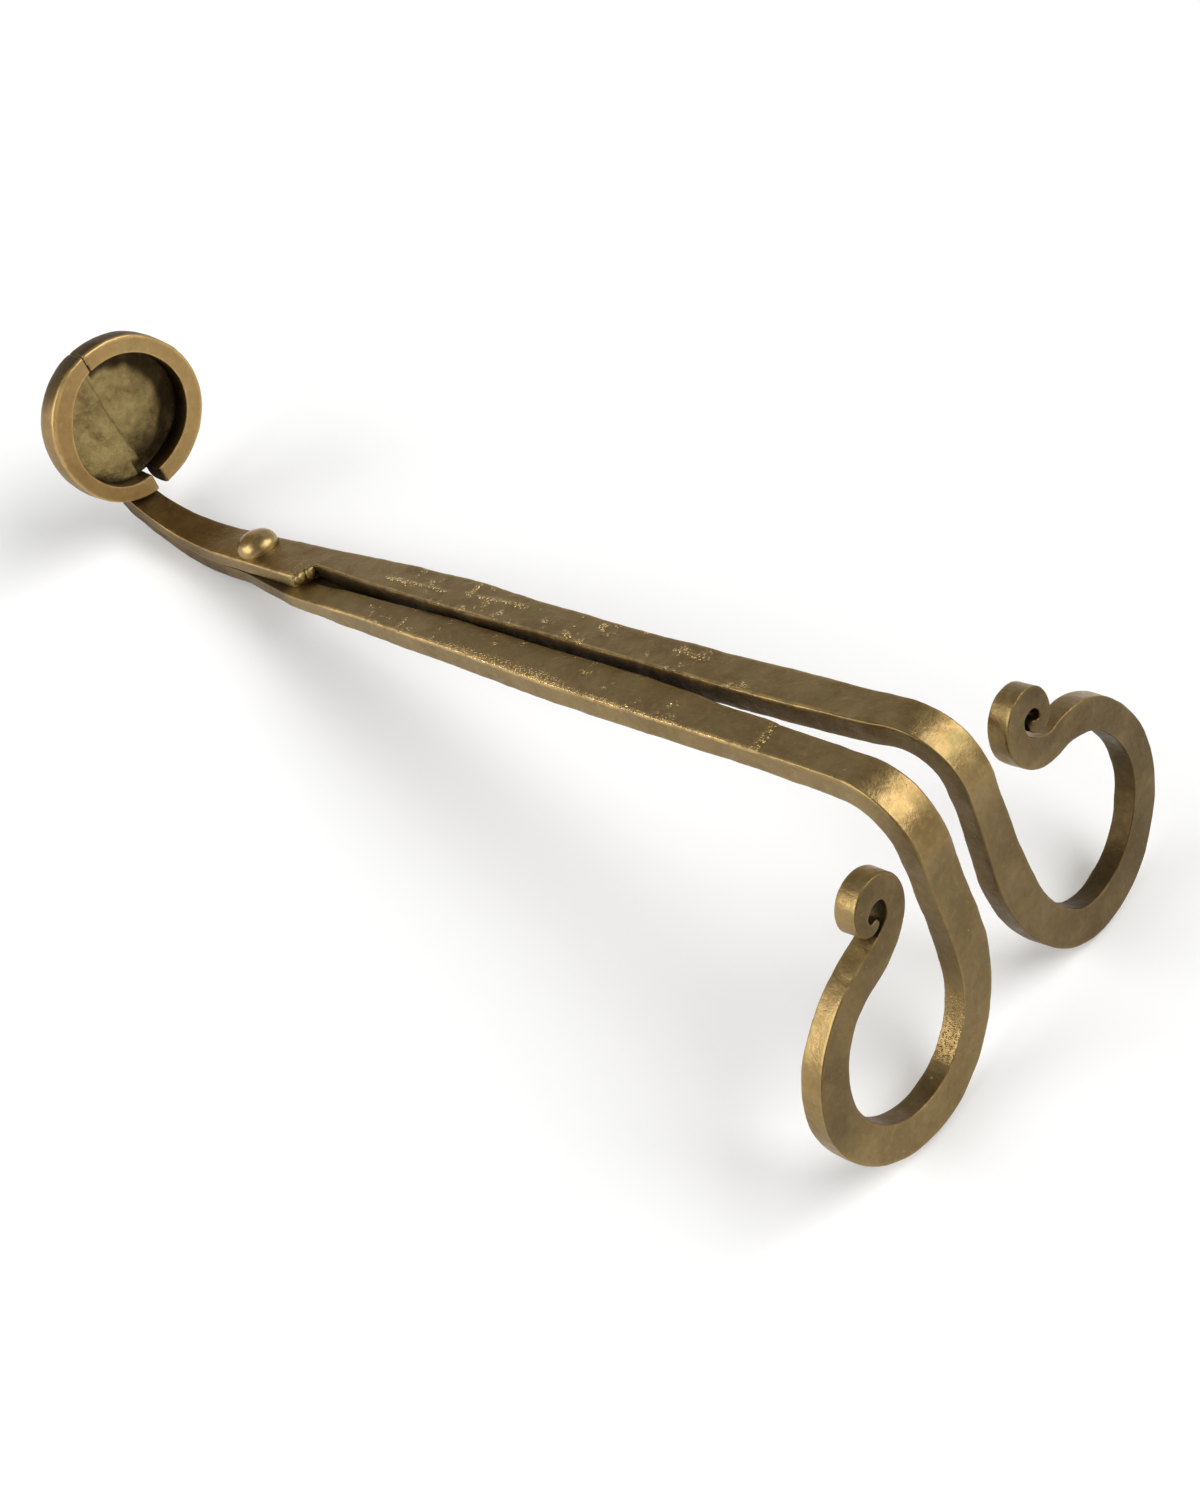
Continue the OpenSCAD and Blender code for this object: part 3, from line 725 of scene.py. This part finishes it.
def blade(which, floor, start_of, direction, relief, material):
    """Half-moon floor. start_of gives the cutting edge's y at x; direction is the side it fills."""
    columns = 90
    rows = 46
    reach = DISH_RADIUS - 0.02
    low, high = -reach * 0.999, reach * 0.999
    xs = low + (high - low) * (0.5 - 0.5 * np.cos(np.linspace(0, math.pi, columns)))
    grid = np.zeros((columns, rows * 2, 3))
    edge = np.zeros((columns, rows * 2))
    shares = np.linspace(0, 1, rows) ** 1.5
    for i, x in enumerate(xs):
        wall = direction * math.sqrt(max(reach ** 2 - x * x, 1e-6))
        begin = start_of(x)
        if direction * (wall - begin) < 0.02:
            begin = wall - direction * 0.02
        ys = begin + (wall - begin) * shares
        grid[i, :rows] = np.stack([np.full(rows, x), ys, np.full(rows, -floor)], 1)
        grid[i, rows:] = np.stack([np.full(rows, x), ys[::-1], np.full(rows, -floor - BLADE_THICKNESS)], 1)
        edge[i, :rows] = np.exp(-(np.abs(ys - begin) / 0.28) ** 2) if direction < 0 else 0
    grid = from_cup(bent_ring(seam_to_cup(grid)))
    grid_piece(f"{which}_blade_beaten", grid, edge, xs, relief, f"{which}_half",
               [f"{which}_blade"], material, sharp=35, shade_and_grime=blade_shade_and_grime)


def blade_shade_and_grime(p, normal, along, edge):
    """Painted shade in the corner with the wall, deepest on the side of the lower lever's half, and on the
    lower part of that half; a dark line along the upper plate's cutting edge; dark backs.
    """
    local = (p - CUP_CENTRE) @ AT_CUP
    radius = math.hypot(local[0], local[1])
    reach = 7.9 if local[1] > SEAM_MIDDLE else 10.6
    # painted shade on the lower part of the lower lever's half; a dark line along the upper plate's cutting
    # edge
    low = fade((local[0] - 2) / 7) * fade((local[1] + 1.7) / 2) * 0.75
    low = max(low, 0.45 * edge)
    return max(0.95 * fade((radius + 0.8 * wobble(p, 3.0, 4.0) - reach) / 1.8), low,
               0.9 if (normal @ AT_CUP)[2] < -0.5 else 0.0)


def blade_relief(seed, fillet):
    def relief(p, normal, along, edge):
        local_normal = normal @ AT_CUP
        if local_normal[2] < 0.5:
            return 0.0
        local = (p - CUP_CENTRE) @ AT_CUP
        radius = math.hypot(local[0], local[1])
        lumps = (0.26 * wobble(p, 4.5, seed) + 0.16 * wobble(p, 2.2, seed + 5) + 0.10 * dimples(p, 3.4, seed)
                 + 0.05 * wobble(p, 1.0, seed))
        return lumps * (0.35 + 0.5 * (1 - edge)) + fillet * math.exp(-(DISH_RADIUS - radius) / 1.3)
    return relief


def upper_edge(x):
    """Cutting edge of the upper plate, a little uneven."""
    return SEAM_MIDDLE + 0.055 * max(0.0, x + 3) + 0.08 * math.sin(x * 0.75 + 0.6) + 0.05 * math.sin(x * 1.9)


def lower_edge(x):
    """The lower plate runs on behind the upper one, and stops at the notch for the upper neck."""
    notch = fade((x - 10.9) / 0.5)
    return SEAM_MIDDLE - BLADE_OVERLAP * (1 - fade((-x - 9.5) / 1.2)) * (1 - notch) + 1.6 * notch


def braze_bead(which, start, end, height, seed, floor, material):
    """Irregular braze fillet in the corner between a floor and its rim; angles from straight down."""
    count = 120
    theta = np.radians(np.linspace(start, end, count))
    size = np.array([height * (0.8 + 0.9 * noise.noise(Vector((t * 3.0, seed, 0.3)))
                               + 0.5 * noise.noise(Vector((t * 9.0, seed, 1.3)))) for t in theta])
    size = np.clip(size, 0.15, None) * np.sin(np.linspace(0.05, math.pi - 0.05, count)) ** 0.35
    turn = np.linspace(0, 2 * math.pi, 16, endpoint=False)
    radius = DISH_RADIUS + 0.15 - size[:, None] * (0.35 + 0.75 * np.cos(turn)[None])
    depth = -floor - 0.25 + size[:, None] * (0.35 + 0.75 * np.sin(turn)[None])
    theta = np.broadcast_to(theta[:, None], radius.shape)
    grid = from_cup(np.stack([radius * np.cos(theta), radius * np.sin(theta), depth], 2))
    # the bead is painted dark: painted shade in the corner with the wall
    grid_piece(f"{which}_braze", grid, np.zeros(radius.shape), theta[:, 0] * DISH_RADIUS,
               lambda *row: 0.10 * wobble(row[0], 0.9, seed), f"{which}_half", [],
               material, sharp=70, shade_and_grime=lambda *row: 0.85)


# ---- Neck ear and rivet ---------------------------------------------------------------------------
def neck_ear(material):
    """Tab of the lower neck that reaches sideways and forward to the back of the lower blade."""
    xs = np.linspace(3.6, 10.6, 24)
    ones = np.ones(len(xs))
    back, front = -(RIM_HEIGHT + 3.0), -(LOWER_FLOOR + 0.6)
    outline, edge = sections(-1.5 * ones, 5.6 * ones, back * ones, front * ones, 0.4)
    outline = round_ends(outline, xs, 1.0, 0.6)
    across, depth = outline[:, :, 0], outline[:, :, 1]
    grid = np.stack([np.broadcast_to(xs[:, None], across.shape), across, depth], 2)
    # the tab is painted nearly black: painted shade behind the lower blade
    grid_piece("lower_neck_ear", from_cup(grid), edge, xs, lambda *row: forged(row[0], 20.0),
               "lower_half", [], material, shade_and_grime=lambda *row: 0.95)


def rivet(material):
    """Both heads and the shank, turned about the pivot; the heads were closed with a hammer."""
    seat = LAP_THICKNESS + 0.02       # where a head's flat side is
    foot = 0.25                       # straight part of a head's wall

    def head(height, sign):
        return [(0.96 * HEAD_RADIUS * math.cos(t * math.pi / 2) ** 0.8,
                 sign * seat + sign * (foot + (height - foot) * math.sin(t * math.pi / 2)))
                for t in np.linspace(0, 1, 26)]
    top = head(HEAD_HEIGHT * 0.93, 1)[::-1] + [(HEAD_RADIUS * 0.97, seat)]
    shank = [(RIVET_RADIUS, LAP_THICKNESS), (RIVET_RADIUS, -LAP_THICKNESS)]
    bottom = [(HEAD_RADIUS * 0.97, -seat)] + head(HEAD_HEIGHT * 0.6, -1)
    profile = np.array([(max(r, 0.001), z) for r, z in top + shank + bottom])
    turns = np.linspace(0, 2 * math.pi, 96, endpoint=False)
    radius = np.broadcast_to(profile[:, 0], (len(turns), len(profile)))
    height = np.broadcast_to(profile[:, 1], (len(turns), len(profile)))
    x = radius * np.cos(turns)[:, None]
    y = radius * np.sin(turns)[:, None]
    # two hammer flats on the upper head, with a soft valley between them
    for direction, tilt, level in ((225, 40, 3.12), (40, 34, 3.0)):
        a, t = math.radians(direction), math.radians(tilt)
        nx, ny, nz = math.sin(t) * math.cos(a), math.sin(t) * math.sin(a), math.cos(t)
        over = nx * x + ny * y + nz * (height - LAP_THICKNESS) - level
        cut = 0.3 * np.clip(over, 0, None) * ease((height - LAP_THICKNESS - 0.6) / 1.4)
        height = height - cut / nz
    valley = np.exp(-((x * math.cos(0.4) + y * math.sin(0.4) + 0.3) / 0.55) ** 2)
    height = height - 0.06 * valley * ease((height - LAP_THICKNESS - 1.2) / 1.2)
    grid = np.stack([x, y, height], 2)
    grid_piece("pivot_rivet_hammered", grid, np.zeros(x.shape), turns * HEAD_RADIUS,
               lambda *row: 0.04 * wobble(row[0], 2.6, 6.0) + 0.01 * wobble(row[0], 0.8, 1.0),
               "lower_half", ["pivot_rivet"], material, closed=True, sharp=75)


# ---- Materials ------------------------------------------------------------------------------------
# near black, for painted shade and other darkening
SHADE_AND_GRIME_COLOUR = (0.028, 0.017, 0.008)


def new_material(name):
    material = bpy.data.materials.new(name)
    material.use_nodes = True
    tree = material.node_tree
    tree.nodes.clear()
    out = tree.nodes.new("ShaderNodeOutputMaterial")
    shader = tree.nodes.new("ShaderNodeBsdfPrincipled")
    tree.links.new(shader.outputs["BSDF"], out.inputs["Surface"])
    return material, tree, shader


def noise_node(tree, vector, scale, detail=4.0, roughness=0.55, distortion=0.0):
    node = tree.nodes.new("ShaderNodeTexNoise")
    node.inputs["Scale"].default_value = scale
    node.inputs["Detail"].default_value = detail
    node.inputs["Roughness"].default_value = roughness
    node.inputs["Distortion"].default_value = distortion
    tree.links.new(vector, node.inputs["Vector"])
    return node.outputs["Fac"]


def ramp_node(tree, value, low, high, dark=0.0, light=1.0):
    node = tree.nodes.new("ShaderNodeMapRange")
    node.interpolation_type = "SMOOTHSTEP"
    node.inputs["From Min"].default_value = low
    node.inputs["From Max"].default_value = high
    node.inputs["To Min"].default_value = dark
    node.inputs["To Max"].default_value = light
    tree.links.new(value, node.inputs["Value"])
    return node.outputs["Result"]


def math_node(tree, operation, a, b):
    node = tree.nodes.new("ShaderNodeMath")
    node.operation = operation
    for socket, value in zip(node.inputs, (a, b)):
        if isinstance(value, (int, float)):
            socket.default_value = value
        else:
            tree.links.new(value, socket)
    return node.outputs["Value"]


def mix_node(tree, share, a, b):
    node = tree.nodes.new("ShaderNodeMix")
    node.data_type = "RGBA"
    tree.links.new(share, node.inputs["Factor"])
    for name, value in (("A", a), ("B", b)):
        socket = next(s for s in node.inputs if s.name == name and s.type == "RGBA")
        if isinstance(value, tuple):
            socket.default_value = (*value, 1.0)
        else:
            tree.links.new(value, socket)
    return next(s for s in node.outputs if s.type == "RGBA")


def voronoi_node(tree, vector, scale):
    node = tree.nodes.new("ShaderNodeTexVoronoi")
    node.inputs["Scale"].default_value = scale
    tree.links.new(vector, node.inputs["Vector"])
    return node.outputs["Distance"]


def attribute_node(tree, name):
    node = tree.nodes.new("ShaderNodeAttribute")
    node.attribute_name = name
    return node.outputs["Fac"]


def tint(colour, factor):
    return tuple(min(1.0, channel * factor) for channel in colour)


def aged_brass(name, gold, brown, olive, rough=(0.30, 0.46), patina=1.0, wear=1.0, streaks=0.5, bump=1.0,
               size=1.0):
    """Worn brass: gold where it is rubbed, brown and olive where it has tarnished. Its colour also holds
    painted highlights along edges, painted glitter on specks and marked places, and painted shade mixed in
    towards near black.
    """
    material, tree, shader = new_material(name)
    coords = tree.nodes.new("ShaderNodeTexCoord").outputs["Object"]
    edge = attribute_node(tree, "wear")
    stretched = tree.nodes.new("ShaderNodeMapping")
    stretched.inputs["Scale"].default_value = (0.16, 1.0, 1.0)
    tree.links.new(coords, stretched.inputs["Vector"])
    clouds = noise_node(tree, coords, 95.0 * size, 5.0, 0.6, 0.4)
    blotches = noise_node(tree, coords, 260.0 * size, 4.0, 0.6, 0.8)
    grain = noise_node(tree, coords, 2600.0, 3.0, 0.6)
    lines = noise_node(tree, stretched.outputs["Vector"], 1500.0, 3.0, 0.65)
    # specks: small pits, painted as bright glitter too
    speck_glint = ramp_node(tree, voronoi_node(tree, coords, 620.0), 0.20, 0.08)
    speck_glint = math_node(tree, "MULTIPLY", speck_glint, ramp_node(tree, blotches, 0.62, 0.68))

    tarnish = ramp_node(tree, clouds, 0.32, 0.68, 0.0, patina)
    colour = mix_node(tree, tarnish, gold, brown)
    colour = mix_node(tree, ramp_node(tree, blotches, 0.5, 0.72, 0.0, 0.75 * patina), colour, olive)
    # edges painted brighter: rubbed wear, and on the levers a painted highlight as well
    rubbed_and_highlight = math_node(tree, "MULTIPLY", edge, ramp_node(tree, blotches, 0.36, 0.58, 0.25 * wear, wear))
    worn_and_highlight_gold = tint(gold, 2.2)
    colour = mix_node(tree, rubbed_and_highlight, colour, worn_and_highlight_gold)
    colour = mix_node(tree, math_node(tree, "MULTIPLY", speck_glint, 0.8), colour, worn_and_highlight_gold)
    streak = ramp_node(tree, lines, 0.45, 0.75, 0.0, 0.35 * streaks)
    colour = mix_node(tree, streak, colour, tint(gold, 1.25))
    fine = noise_node(tree, coords, 900.0, 4.0, 0.7)
    colour = mix_node(tree, ramp_node(tree, fine, 0.52, 0.72, 0.0, 0.45), colour, tint(gold, 1.3))
    colour = mix_node(tree, ramp_node(tree, fine, 0.46, 0.28, 0.0, 0.4), colour, tint(brown, 0.7))
    # painted glitter: colour raised to a near-white gold, with sparkle, where that mask is high
    sparkle = ramp_node(tree, voronoi_node(tree, coords, 2300.0), 0.5, 0.18, 0.1, 1.0)
    painted_glint = math_node(tree, "MULTIPLY", attribute_node(tree, "painted_glint"), sparkle)
    colour = mix_node(tree, painted_glint, colour, tint(gold, 3.3))
    # painted shade and other darkening, mixed in towards near black
    uneven = ramp_node(tree, clouds, 0.3, 0.6, 0.88, 1.0)
    shade_and_grime_share = math_node(tree, "MULTIPLY", attribute_node(tree, "shade_and_grime"), uneven)
    colour = mix_node(tree, shade_and_grime_share, colour, SHADE_AND_GRIME_COLOUR)
    tree.links.new(colour, shader.inputs["Base Color"])

    roughness = ramp_node(tree, blotches, 0.3, 0.75, rough[0], rough[1])
    roughness = math_node(tree, "SUBTRACT", roughness, math_node(tree, "MULTIPLY", rubbed_and_highlight, 0.08))
    roughness = math_node(tree, "ADD", roughness, math_node(tree, "MULTIPLY", grain, 0.06))
    roughness = math_node(tree, "ADD", roughness, math_node(tree, "MULTIPLY", shade_and_grime_share, 0.12))
    roughness = math_node(tree, "SUBTRACT", roughness, math_node(tree, "MULTIPLY", painted_glint, 0.2))
    tree.links.new(roughness, shader.inputs["Roughness"])

    height = math_node(tree, "ADD", math_node(tree, "MULTIPLY", blotches, 0.55),
                       math_node(tree, "MULTIPLY", grain, 0.12))
    height = math_node(tree, "ADD", height, math_node(tree, "MULTIPLY", lines, 0.16 * streaks))
    height = math_node(tree, "ADD", height, math_node(tree, "MULTIPLY", speck_glint, 0.35))
    height = math_node(tree, "ADD", height, math_node(tree, "MULTIPLY", fine, 0.30))
    height = math_node(tree, "ADD", height, math_node(tree, "MULTIPLY", painted_glint, 3.0))
    relief = tree.nodes.new("ShaderNodeBump")
    relief.inputs["Strength"].default_value = 0.8 * bump
    relief.inputs["Distance"].default_value = 0.0003
    tree.links.new(height, relief.inputs["Height"])
    tree.links.new(relief.outputs["Normal"], shader.inputs["Normal"])
    shader.inputs["Metallic"].default_value = 1.0
    return material


def floor_material():
    material, tree, shader = new_material("pale_floor")
    coords = tree.nodes.new("ShaderNodeTexCoord").outputs["Object"]
    clouds = noise_node(tree, coords, 3.0)
    colour = mix_node(tree, clouds, (0.93, 0.93, 0.925), (0.95, 0.95, 0.945))
    tree.links.new(colour, shader.inputs["Base Color"])
    shader.inputs["Roughness"].default_value = 0.9
    shader.inputs["Specular IOR Level"].default_value = 0.1
    return material


# ---- Stage ----------------------------------------------------------------------------------------
CAMERA_PLACE = (191.7, -143.5, 263.4)   # millimetres
CAMERA_TURN = (40.467, 8.311, 40.558)   # degrees
CAMERA_LENS = 51.86
KEY_SIDE = Vector((0.50, 0.47, 0.73))
FILL_SIDE = Vector((-0.42, -0.74, 0.53))
LIT_PLACE = Vector((0, 0, 0.02))        # what the lights point at
FLOOR_HALF = 6.0
FLOOR_GAP = 0.00005                     # from the CAD's lowest point to the floor


def area_light(name, place, size, energy):
    data = bpy.data.lights.new(name, "AREA")
    data.shape = "RECTANGLE"
    data.size, data.size_y = size
    data.energy = energy
    light = bpy.data.objects.new(name, data)
    light.location = place
    light.rotation_mode = "QUATERNION"
    light.rotation_quaternion = (LIT_PLACE - place).to_track_quat("-Z", "Y")
    bpy.context.scene.collection.objects.link(light)


def make_stage():
    scene = bpy.context.scene
    scene.view_settings.view_transform = "Standard"
    world = bpy.data.worlds.new("studio")
    world.use_nodes = True
    tree = world.node_tree
    split = tree.nodes.new("ShaderNodeSeparateXYZ")
    tree.links.new(tree.nodes.new("ShaderNodeTexCoord").outputs["Generated"], split.inputs["Vector"])
    sky = ramp_node(tree, split.outputs["Z"], 0.1, 0.85, 0.62, 0.28)
    tree.links.new(sky, tree.nodes["Background"].inputs["Color"])
    scene.world = world
    mesh = bpy.data.meshes.new("floor")
    level = cad_box[0][2] - FLOOR_GAP
    corners = ((-1, -1), (1, -1), (1, 1), (-1, 1))
    mesh.from_pydata([(x * FLOOR_HALF, y * FLOOR_HALF, level) for x, y in corners], [], [(0, 1, 2, 3)])
    floor = bpy.data.objects.new("floor", mesh)
    mesh.materials.append(floor_material())
    scene.collection.objects.link(floor)
    area_light("softbox", KEY_SIDE * 1.3, (1.15, 0.8), 13.0)
    area_light("fill", FILL_SIDE * 1.5, (1.5, 1.0), 17.0)
    data = bpy.data.cameras.new("camera")
    data.sensor_width = 36.0
    data.lens = CAMERA_LENS
    data.clip_start = 0.01
    camera = bpy.data.objects.new("camera", data)
    camera.location = [c * MM for c in CAMERA_PLACE]
    camera.rotation_euler = [math.radians(a) for a in CAMERA_TURN]
    scene.collection.objects.link(camera)
    scene.camera = camera


# ---- The trimmer ----------------------------------------------------------------------------------
make_stage()
lever_brass = aged_brass("aged_brass", (0.307, 0.212, 0.088), (0.22, 0.145, 0.056), (0.25, 0.198, 0.079))
rim_brass = aged_brass("filed_brass", (0.41, 0.272, 0.112), (0.33, 0.215, 0.084), (0.35, 0.25, 0.10),
                       rough=(0.36, 0.48), patina=0.8, wear=0.32, streaks=0.3, bump=0.7)
floor_brass = aged_brass("beaten_brass", (0.38, 0.29, 0.12), (0.17, 0.11, 0.045), (0.30, 0.25, 0.10),
                         rough=(0.34, 0.5), wear=0.0, streaks=0.0, bump=1.6, size=1.5)
rivet_brass = aged_brass("rubbed_brass", (0.44, 0.32, 0.14), (0.27, 0.18, 0.07), (0.36, 0.27, 0.11),
                         rough=(0.27, 0.36), patina=0.8, wear=0.0, streaks=0.0, bump=0.35)

lever("upper", UPPER_LOOP, UPPER_INNER, UPPER_OUTER, UPPER_NECK, upper_relief, upper_lever_shade_and_grime, upper_painted_glint,
      lever_brass)
lever("lower", LOWER_LOOP, LOWER_INNER, LOWER_OUTER, LOWER_NECK, lower_relief, lower_lever_shade_and_grime, lower_painted_glint,
      lever_brass)
lap_root(lever_brass)
shoulder_burr("upper_shoulder_burr_front", (15.6, -2.9, 1.55), (0.95, 1.5, 1.15), 3.3, lever_brass)
shoulder_burr("upper_shoulder_burr_back", (16.3, -1.2, 1.35), (0.9, 1.2, 1.2), 8.1, lever_brass)
neck_ear(lever_brass)
half_gap = SEAM_GAP / 2
rim("upper", lambda r: -seam_at(r, -half_gap) - math.pi, lambda r: seam_at(r, -half_gap),
    rim_relief(2.2), rim_brass)
rim("lower", lower_rim_start, lambda r: math.pi - seam_at(r, half_gap), rim_relief(7.4), rim_brass)
blade("upper", UPPER_FLOOR, upper_edge, -1, blade_relief(1.5, 0.15), floor_brass)
blade("lower", LOWER_FLOOR, lower_edge, 1, blade_relief(6.1, 0.8), floor_brass)
braze_bead("lower", 10, 172, 0.75, 4.0, LOWER_FLOOR, floor_brass)
braze_bead("upper", -12, -160, 0.35, 9.0, UPPER_FLOOR, floor_brass)
rivet(rivet_brass)
